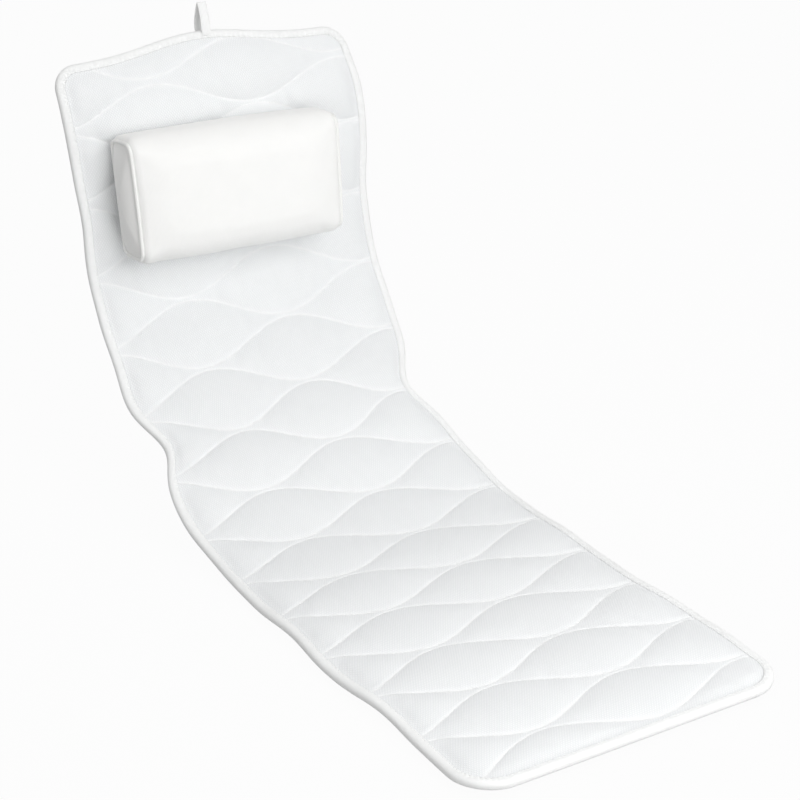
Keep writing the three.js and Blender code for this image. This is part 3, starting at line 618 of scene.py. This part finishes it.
def swollen_face():
    """The quilted face in the flat drawing: x, s, lift over the seams and distance to the nearest seam."""
    x, s, width, share, held = quilt_grid()
    lean = np.gradient(s, axis=1) / np.gradient(x, axis=1)
    to_seam = np.minimum(share, 1 - share) * width / np.hypot(1, lean)
    under_x = PILLOW_LENGTH / 2 - np.abs(x - PILLOW_PUT_ON[0])
    under_s = PILLOW_HEIGHT / 2 - np.abs(s - PILLOW_AT - PILLOW_PUT_ON[1])
    under = smoothstep(under_x / PILLOW_PRESS_EDGE) * smoothstep(under_s / PILLOW_PRESS_EDGE)
    crown = eased(s, PUFF_CROWNS) * smoothstep((inside_by(x, s) - HEM) / PUFF_EDGE)
    crown = crown * (1 - PILLOW_PRESS * under)
    flat = np.stack([x, s, np.zeros_like(x)], axis=-1)
    cloth = new_piece("swelling", flat, grid_faces(*x.shape))
    after = settled(cloth, held, PUFF_PRESSURE, PUFF_FRAMES, PUFF_SLACK).reshape(flat.shape)
    bpy.data.objects.remove(cloth)
    way = evened(after - flat, PUFF_EVENED)
    creep = np.clip(way, -PUFF_CREEP, PUFF_CREEP)
    lift = way[..., 2].clip(0)
    return x + creep[..., 0], s + creep[..., 1], crown * (lift / lift.max()) ** PUFF_FULLNESS, to_seam


def make_mat():
    x, s, lift, to_seam = swollen_face()
    groove = GROOVE_DEPTH * np.exp(-((to_seam / GROOVE_HALF) ** 2)) * (inside_by(x, s) > HEM)
    flat = np.stack([x, s], axis=-1)
    both = np.stack([flat, flat])
    faces = sheet_faces(*x.shape)

    top = place(x, s, FACE_SEAM + lift - groove)
    face = new_piece("quilted_face", np.stack([top, place(x, s, FACE_BOTTOM)]), faces, FACE_MESH)
    lay_flat(face, both)
    pressed = np.exp(-((to_seam / PRESSED_HALF) ** 2))
    note(face, "pressed", np.stack([pressed, pressed]))
    bend_at_fold(face)
    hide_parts(*both_halves("quilted_face", "wadding"))

    calm = np.ones_like(x)
    for at in sum(CUP_ROWS.values(), ()):
        calm = calm * (1 - np.exp(-(((np.abs(x) - CUP_X) ** 2 + (s - at) ** 2) / CUP_CALM**2)))
    low = place(x, s, UNDERSIDE - UNDER_SWELL * lift * calm)
    under = new_piece("underside_mesh", np.stack([place(x, s, UNDERSIDE_TOP), low]), faces, UNDER_MESH)
    lay_flat(under, both)
    bend_at_fold(under)
    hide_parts(*both_halves("base_mesh"))
    return face


def edge_path():
    """The mat's edge as a closed line, counter-clockwise seen from the face: points, the way out and length."""
    corners = [(1, -1), (1, 1), (-1, 1), (-1, -1)]
    lines = []
    for i, (side, end) in enumerate(corners):
        radius = HEAD_CORNER if end > 0 else FOOT_CORNER
        steps = round(radius * math.pi / 2 / TAPE_STEP)
        angle = math.pi / 2 * (i - 1 + np.arange(steps + 1) / steps)
        out = np.stack([np.cos(angle), np.sin(angle)], axis=-1)
        arc = np.array([side, end]) * (np.array([MAT_WIDTH, MAT_LENGTH]) / 2 - radius) + radius * out
        arc = arc + np.array([0, MAT_LENGTH / 2])
        straight = MAT_LENGTH - FOOT_CORNER - HEAD_CORNER if i % 2 == 0 else MAT_WIDTH - 2 * radius
        count = round(straight / TAPE_STEP)
        runs = straight * np.arange(1, count) / count
        ahead = np.array([-out[-1][1], out[-1][0]])
        line = arc[-1] + runs[:, None] * ahead
        outs = np.concatenate([out, np.repeat(out[-1:], len(runs), axis=0)])
        lines.append((np.concatenate([arc, line]), outs))
    points, outs = (np.concatenate(parts) for parts in zip(*lines))
    return points, outs, length_along(points)


def gathers(points, length):
    """How the sewn tape ripples along the edge: most at the corners and head, little on the straight sides."""
    to_end = np.minimum(points[:, 1], MAT_LENGTH - points[:, 1])
    to_corner = np.hypot(np.abs(points[:, 0]) - MAT_WIDTH / 2, to_end)
    corner = np.exp(-((to_corner / FOOT_CORNER) ** 2))
    head = smoothstep((points[:, 1] - MAT_LENGTH + GATHER_HEAD) / GATHER_HEAD)
    share = np.maximum(np.maximum(corner, head), GATHER_PLAIN)
    drift = GATHER_DRIFT * np.sin(length / GATHER_DRIFT_LENGTH)
    ripple = np.sin(2 * math.pi * length / GATHER_PITCH + drift)
    return GATHER_DEPTH * share * ripple


def make_binding():
    points, outs, length = edge_path()
    section = np.array(TAPE_OUTSIDE + TAPE_INSIDE)
    gathered = np.zeros(len(section))
    gathered[: len(TAPE_GATHERED)] = TAPE_GATHERED
    out = section[:, 0][None, :]
    height = section[:, 1] + gathered * gathers(points, length)[:, None]
    x = points[:, :1] + out * outs[:, :1]
    s = points[:, 1:] + out * outs[:, 1:]
    shape = x.shape
    tape = new_piece("edge_binding", place(x, s, height), grid_faces(*shape, True, True)[:, ::-1], BINDING_TAPE)
    lay_flat(tape, flat_grid(length_along(section), length))
    bend_at_fold(tape)
    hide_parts(*both_halves("binding"))

    for side, (lip, top) in TAPE_STITCHES.items():
        stitched = points + lip * outs
        stitched = np.concatenate([stitched, stitched[:1]])
        rows = stitches(stitched[:, 0], stitched[:, 1], np.full(len(stitched), top), math.copysign(1, top))
        sew(f"binding_stitches_{side}", [rows])


def stitches(x, s, n, way=1):
    """Thread along a line of the flat drawing: rings of points for each stitch, which dives in at both ends."""
    line = place(x, s, n)
    normal = way * (place(x, s, n + 1) - line)
    length = length_along(line)
    count = int(length[-1] // (STITCH + STITCH_GAP))
    starts = np.arange(count) * length[-1] / count
    height = np.array(STITCH_HEIGHTS) * THREAD_RADIUS
    thick = np.array(STITCH_THICKNESS) * THREAD_RADIUS
    at = starts[:, None] + STITCH * np.array(STITCH_SHARES)
    tables = [[np.interp(at, length, part) for part in table.T] for table in (line, normal)]
    middle, up = (np.stack(parts, axis=-1) for parts in tables)
    up = unit(up)
    side = unit(np.cross(np.gradient(middle, axis=1), up))
    middle = middle + height[None, :, None] * up
    angle = 2 * math.pi * np.arange(THREAD_SIDES) / THREAD_SIDES
    round_side = np.cos(angle)[None, None, :, None] * side[:, :, None, :]
    round_up = np.sin(angle)[None, None, :, None] * up[:, :, None, :]
    return middle[:, :, None, :] + thick[None, :, None, None] * (round_side + round_up)


def sew(name, runs):
    """One piece from runs of stitches."""
    rings = np.concatenate(runs)
    count, rows, sides, _ = rings.shape
    tube = grid_faces(rows, sides, wrap_columns=True)
    ends = [np.arange(sides)[::-1], (rows - 1) * sides + np.arange(sides)]
    faces = []
    for start in range(0, count * rows * sides, rows * sides):
        faces.extend(tube + start)
        faces.extend(end + start for end in ends)
    thread = new_piece(name, rings, faces, THREAD)
    bend_at_fold(thread)


def sew_quilting():
    u = np.linspace(0, 1, SEAM_POINTS)
    runs = []
    sunk = FACE_SEAM - GROOVE_DEPTH + THREAD_RADIUS / 2
    for k in range(SEAM_COUNT):
        s = seam_line(k, u)
        x = (2 * u - 1) * half_width(s, LAYER_INSET)
        clear = inside_by(x, s) > HEM
        runs.append(stitches(x[clear], s[clear], np.full(clear.sum(), sunk)))
    sew("quilting_stitches", runs)


def turned(outline, sides):
    """A solid turned about Z from a closed outline of radius and height pairs: points and faces."""
    angle = 2 * math.pi * np.arange(sides) / sides
    points, rings, faces = [], [], []
    for radius, height in outline:
        count = 1 if radius == 0 else sides
        rings.append(len(points) + np.arange(count))
        points.extend((radius * math.cos(a), radius * math.sin(a), height) for a in angle[:count])
    for ring, after in zip(rings, rings[1:] + rings[:1]):
        for i in range(sides):
            j = (i + 1) % sides
            if len(ring) == 1 and len(after) == 1:
                break
            if len(ring) == 1:
                faces.append((ring[0], after[j], after[i]))
            elif len(after) == 1:
                faces.append((ring[i], ring[j], after[0]))
            else:
                faces.append((ring[i], ring[j], after[j], after[i]))
    return np.array(points), faces


def make_cups():
    for half, rows in CUP_ROWS.items():
        spots = [(x, s) for s in rows for x in (-CUP_X, CUP_X)]
        for i, (x, s) in enumerate(spots, start=1):
            at = frame_at(x, s, UNDERSIDE)
            for kind, outline, material, slot in (
                ("suction_cup", CUP_OUTLINE, CLEAR_VINYL, "clear_vinyl"),
                ("eyelet", EYELET_OUTLINE, EYELET_PLASTIC, "eyelet_plastic"),
            ):
                points, faces = turned(outline, CUP_SIDES)
                piece = new_piece(f"{half}_{kind}_smooth_{i}", moved(points, at), faces, material)
                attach(piece, half)
                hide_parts(f"{half}_{kind}_{i}")


def pillow_loop(x):
    """The pillow's section at x, round from the middle of its back: even points a, b and their length round."""
    crown = 1 - (2 * x / PILLOW_LENGTH) ** 2
    into_end = max(0, PILLOW_END_ROUND - PILLOW_END + abs(x))
    inset = PILLOW_END_ROUND - math.sqrt(PILLOW_END_ROUND**2 - into_end**2)
    half = PILLOW_HEIGHT / 2 - PILLOW_WAIST * (1 - crown) - inset
    depth = PILLOW_DEPTH + PILLOW_CROWN * crown - inset
    quarter = np.radians(np.linspace(0, 90, PILLOW_ARC_POINTS))

    def arc(a, b, radius, start):
        angle = math.radians(start) + quarter
        return np.stack([a + radius * np.cos(angle), b + radius * np.sin(angle)], axis=-1)

    radii = (PILLOW_BACK_RADIUS, PILLOW_FRONT_RADIUS)
    back, front = (end + (middle - end) * math.sqrt(crown) - inset for end, middle in radii)
    face = np.linspace(half - front, front - half, PILLOW_FACE_POINTS)[1:-1]
    line = np.concatenate([
        [(0, inset)],
        arc(half - back, inset + back, back, -90),
        arc(half - front, depth - front, front, 0),
        np.stack([face, np.full_like(face, depth)], axis=-1),
        arc(front - half, depth - front, front, 90),
        arc(back - half, inset + back, back, 180),
        [(0, inset)],
    ])
    line[:, 1] += PILLOW_FRONT_BULGE * (1 - (line[:, 0] / half) ** 2) * smoothstep(line[:, 1] / depth)
    return evenly(line, PILLOW_ROUND, closed=True)


def pillow_put_on():
    """The pillow's frame as it is put on by hand, leaning on its upper strip."""
    across, up, turn, lean = PILLOW_PUT_ON
    shifted = Matrix.Translation(Vector((across, up, 0)) * MM) @ Matrix.Rotation(math.radians(turn), 4, "Z")
    pivot = Matrix.Translation(Vector((0, STRIP_PITCH / 2, PILLOW_BACK)) * MM)
    leant = pivot @ Matrix.Rotation(math.radians(-lean), 4, "X") @ pivot.inverted()
    return frame_at(0, PILLOW_AT, 0) @ shifted @ leant


def evened_cover(way):
    """How the points of the pillow's cover move, smoothed round the pillow and along it."""
    cover = way.reshape(PILLOW_STATIONS, PILLOW_ROUND, 3)
    for _ in range(PILLOW_EVENED):
        cover = (np.roll(cover, 1, axis=1) + 2 * cover + np.roll(cover, -1, axis=1)) / 4
    return evened(cover.swapaxes(0, 1), PILLOW_EVENED).swapaxes(0, 1).reshape(-1, 3)


def pillow_cover():
    """The pillow's cover as sections along it: their points, and the same points laid flat."""
    even = np.linspace(-1, 1, PILLOW_STATIONS)
    stations = PILLOW_END * (even + PILLOW_CROWDED * (np.sin(math.pi / 2 * even) - even))
    sections, around = (np.array(parts) for parts in zip(*map(pillow_loop, stations)))
    x = np.broadcast_to(stations[:, None], around.shape)
    return np.concatenate([x[..., None], sections], axis=-1), np.stack([x, around], axis=-1)


def end_panel(seam, edge, start):
    """A bulged panel of shrinking rings that closes the pillow at an end seam: its points and faces.

    The seam's vertices have the numbers in edge, and the panel's own are numbered from start.
    """
    x = seam[0, 0]
    middle = np.array([0, PILLOW_DEPTH / 2])
    points, rings = [], [edge]
    for share in 1 - np.arange(1, PANEL_RINGS) / PANEL_RINGS:
        bulged = x * (1 + PANEL_DOME * (1 - share**2) / PILLOW_END)
        shrunk = middle + (seam[:, 1:] - middle) * share
        points.append(np.column_stack([np.full(PILLOW_ROUND, bulged), shrunk]))
        rings.append(start + np.arange(PILLOW_ROUND))
        start += PILLOW_ROUND
    points.append([[x * (1 + PANEL_DOME / PILLOW_END), *middle]])
    parts = [np.stack([a, np.roll(a, -1), np.roll(b, -1), b], axis=-1) for a, b in zip(rings, rings[1:])]
    parts.append(np.stack([rings[-1], np.roll(rings[-1], -1), np.full(PILLOW_ROUND, start)], axis=-1))
    return np.concatenate(points), [part[:, ::-1] if x < 0 else part for part in parts]


def make_pillow():
    at = pillow_put_on() @ Matrix.Translation((0, 0, PILLOW_BACK * MM))
    cover, cover_flat = pillow_cover()
    points = cover.reshape(-1, 3)
    cover_points = len(points)
    parts = [grid_faces(PILLOW_STATIONS, PILLOW_ROUND, wrap_columns=True)]
    cover_faces = len(parts[0])
    for end in (0, PILLOW_STATIONS - 1):
        edge = end * PILLOW_ROUND + np.arange(PILLOW_ROUND)
        panel, panel_parts = end_panel(cover[end], edge, len(points))
        points = np.concatenate([points, panel])
        parts.extend(panel_parts)
    faces = [face for part in parts for face in part]

    in_cover = np.arange(len(points)) < cover_points
    sewn = in_cover & np.isclose(np.abs(points[:, 0]), PILLOW_END)
    resting = points[:, 2] < PILLOW_RESTING
    cloth = new_piece("swelling", points, faces)
    after = settled(cloth, sewn | resting, PILLOW_PRESSURE, PILLOW_FRAMES, 0)
    bpy.data.objects.remove(cloth)
    way = after - points
    way[in_cover] = evened_cover(way[in_cover])
    far = np.linalg.norm(way, axis=1, keepdims=True)
    points = points + way * np.minimum(1, PILLOW_CAP / np.maximum(far, PILLOW_CAP))
    to_left = np.clip(-points[:, 0] / PILLOW_END, 0, 1)
    points[:, 0] += PILLOW_SLANT * to_left**2 * (0.5 - points[:, 1] / PILLOW_HEIGHT)

    body = new_piece("pillow_body", moved(points, at), faces, PILLOW_KNIT)
    lay_flat(body, cover_flat, 0, cover_faces)
    lay_flat(body, points[:, 1:], cover_faces)
    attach(body, "pillow")
    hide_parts("pillow_cover", "pillow_foam_core", "pillow_end_panel_left", "pillow_end_panel_right")
    make_piping(points, at)


def make_piping(points, at):
    """A cord sewn in along each end seam of the pillow."""
    angle = 2 * math.pi * np.arange(PIPING_SIDES) / PIPING_SIDES
    along = np.array([1.0, 0, 0])
    for side, way, end in (("left", -1, 0), ("right", 1, PILLOW_STATIONS - 1)):
        seam = points[end * PILLOW_ROUND + np.arange(PILLOW_ROUND)]
        ahead = unit(np.roll(seam, -1, axis=0) - np.roll(seam, 1, axis=0))
        outward = np.cross(ahead, along)
        middle = seam + PIPING_RADIUS * (PIPING_OUT * outward + way * PIPING_PAST * along)
        ring = np.cos(angle)[None, :, None] * outward[:, None, :] + np.sin(angle)[None, :, None] * along
        tube = middle[:, None, :] + PIPING_RADIUS * ring
        faces = grid_faces(PILLOW_ROUND, PIPING_SIDES, True, True)[:, ::-1]
        cord = new_piece(f"pillow_cord_{side}", moved(tube, at), faces, PILLOW_KNIT)
        lay_flat(cord, flat_grid(PIPING_RADIUS * angle, length_along(seam)))
        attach(cord, "pillow")
        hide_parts(f"pillow_piping_{side}")


def lifted(board, height):
    """The points of a flat board, each at its height."""
    return np.concatenate([board, np.broadcast_to(height, board.shape[:2])[..., None]], axis=-1)


def make_strips(face):
    """Loop strips that lie on the quilting, and hook strips flat on the pillow's back."""
    bumps = np.random.default_rng(STRIP_SEED)
    columns = round(STRIP_LENGTH / STRIP_CELL) + 1
    rows = round(STRIP_WIDTH / STRIP_CELL) + 1
    wide, high = (np.linspace(-0.5, 0.5, count) for count in (columns, rows))
    x, a = np.meshgrid(wide * STRIP_LENGTH, high * STRIP_WIDTH)
    inner = np.ones_like(x)
    inner[[0, -1]] = 0
    inner[:, [0, -1]] = 0
    corners = [tuple(v.co) for v in face.data.vertices]
    surface = BVHTree.FromPolygons(corners, [tuple(polygon.vertices) for polygon in face.data.polygons])
    rest = frame_at(0, PILLOW_AT, 0)
    down = -(rest.to_3x3() @ Vector((0, 0, 1)))
    for side, along in (("lower", -STRIP_PITCH / 2), ("upper", STRIP_PITCH / 2)):
        nap = STRIP_PILE * inner * bumps.uniform(-1, 1, x.shape)
        board = np.stack([x, a + along], axis=-1)
        over = moved(lifted(board, STRIP_DROP), rest) * MM
        hits = [surface.ray_cast(Vector(point), down)[3] for point in over.reshape(-1, 3)]
        ground = STRIP_DROP - np.array(hits).reshape(x.shape) / MM + STRIP_CLEAR
        thick = STRIP_THICKNESS * (STRIP_EDGE + (1 - STRIP_EDGE) * inner) + nap
        hooks = HOOK_BOTTOM + STRIP_EDGE * (1 - inner) + nap.clip(-HOOK_NAP, HOOK_NAP)
        for owner, kind, body, top, low, at, material in (
            ("mat", "loop", "back", ground + thick, ground, rest, LOOP_PILE),
            ("pillow", "hook", "pillow", HOOK_BOTTOM + STRIP_THICKNESS, hooks, pillow_put_on(), HOOK_PILE),
        ):
            points = moved(np.stack([lifted(board, top), lifted(board, low)]), at)
            strip = new_piece(f"{kind}_strip_{side}", points, sheet_faces(rows, columns), material)
            lay_flat(strip, np.stack([board, board]))
            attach(strip, body)
            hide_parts(f"{owner}_{kind}_strip_{side}")


def smooth_line(points, steps):
    """Evenly spread points of a smooth curve through the given ones."""
    ends = np.concatenate([[2 * points[0] - points[1]], points, [2 * points[-1] - points[-2]]])
    t = np.linspace(0, 1, CURVE_STEPS, endpoint=False)[:, None]
    runs = []
    for p0, p1, p2, p3 in zip(ends, ends[1:], ends[2:], ends[3:]):
        bend = (2 * p0 - 5 * p1 + 4 * p2 - p3) * t**2 + (3 * p1 - p0 - 3 * p2 + p3) * t**3
        runs.append(p1 + (p2 - p0) * t / 2 + bend / 2)
    return evenly(np.concatenate([*runs, points[-1:]]), steps)


def make_loop():
    """Tape folded over into a loop, its two feet sewn to both sides of the head edge."""
    line, length = smooth_line(np.array(LOOP_LINE, float), LOOP_STEPS)
    ahead = unit(np.gradient(line, axis=0))
    outward = np.stack([-ahead[:, 1], ahead[:, 0]], axis=-1)
    wide = LOOP_WIDTH / 2
    thick = LOOP_THICKNESS / 2
    edge = LOOP_THICKNESS / 3
    below = [(-wide, edge - thick), (edge - wide, -thick), (-wide / 3, -thick)]
    below += [(-x, n) for x, n in reversed(below)]
    section = below + [(-x, -n) for x, n in below]
    foot = place(0, MAT_LENGTH, 0)
    rings = []
    for (y, z), (out_y, out_z) in zip(line, outward):
        rings.append([(x, foot[1] + y + n * out_y, foot[2] + z + n * out_z) for x, n in section])
    count = len(section)
    faces = [*grid_faces(LOOP_STEPS, count, wrap_columns=True)]
    faces += [np.arange(count)[::-1], (LOOP_STEPS - 1) * count + np.arange(count)]
    loop = new_piece("hanging_tape", np.array(rings), faces, LOOP_TAPE)
    lay_flat(loop, flat_grid(np.array(section)[:, 0], length))
    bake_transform(loop)
    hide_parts("hanging_loop")


def shown_rays(tree):
    """A socket that is 1 for what the camera sees, also in a gloss or through clear vinyl, and otherwise 0."""
    rays = tree.nodes.new("ShaderNodeLightPath").outputs
    seen = rays["Is Camera Ray"]
    for ray in ("Is Glossy Ray", "Is Transmission Ray"):
        either = tree.nodes.new("ShaderNodeMath")
        either.operation = "MAXIMUM"
        tree.links.new(seen, either.inputs[0])
        tree.links.new(rays[ray], either.inputs[1])
        seen = either.outputs[0]
    return seen


def make_floor():
    """A wide pale floor that shows white to the camera and keeps the object's shadow."""
    half = FLOOR_SIZE / 2 / MM
    corners = [(-half, -half, 0), (half, -half, 0), (half, half, 0), (-half, half, 0)]
    floor = new_piece("floor", corners, [(0, 1, 2, 3)])
    finish = Finish("floor", Roughness=0.9, Base_Color=FLOOR_GREY)
    white = finish.node("Emission", {"Color": WHITE, "Strength": 1.0}).outputs[0]
    share = finish.math("MULTIPLY", shown_rays(finish.tree), FLOOR_WHITE)
    mixed = finish.node("MixShader", {0: share, 1: finish.shader.outputs[0], 2: white}).outputs[0]
    finish.tree.links.new(mixed, finish.tree.nodes["Material Output"].inputs["Surface"])
    floor.data.materials.append(finish.material)


def make_sky():
    """Even soft light all round, and plain white behind the object."""
    world = bpy.data.worlds.new("studio")
    bpy.context.scene.world = world
    world.use_nodes = True
    tree = world.node_tree
    background = tree.nodes["Background"]
    background.inputs["Color"].default_value = WHITE
    strength = tree.nodes.new("ShaderNodeMapRange")
    strength.inputs["To Min"].default_value = SKY
    strength.inputs["To Max"].default_value = 1.0
    tree.links.new(shown_rays(tree), strength.inputs["Value"])
    tree.links.new(strength.outputs[0], background.inputs["Strength"])


def add_light(name, way, distance, size, watts):
    lamp = bpy.data.lights.new(name, "AREA")
    lamp.size = size
    lamp.energy = watts
    light = bpy.data.objects.new(name, lamp)
    toward = Vector(way).normalized()
    light.location = Vector(STUDIO_MIDDLE) + distance * toward
    light.rotation_euler = toward.to_track_quat("Z", "Y").to_euler()
    light.visible_camera = False
    bpy.context.scene.collection.objects.link(light)


def add_camera():
    forward = Vector(CAMERA_FORWARD).normalized()
    right = Vector(CAMERA_RIGHT)
    right = (right - right.dot(forward) * forward).normalized()
    up = right.cross(forward)
    camera = bpy.data.objects.new("camera", bpy.data.cameras.new("camera"))
    camera.data.lens = CAMERA_LENS
    turn = Matrix((right, up, -forward)).transposed().to_4x4()
    camera.matrix_world = Matrix.Translation(CAMERA_AT) @ turn
    bpy.context.scene.collection.objects.link(camera)
    bpy.context.scene.camera = camera


add_camera()
make_floor()
make_sky()
for name, row in LAMPS.items():
    add_light(name, *row)
quilt = make_mat()
sew_quilting()
make_binding()
make_cups()
make_strips(quilt)
make_pillow()
make_loop()

bpy.context.scene.view_settings.view_transform = "Standard"
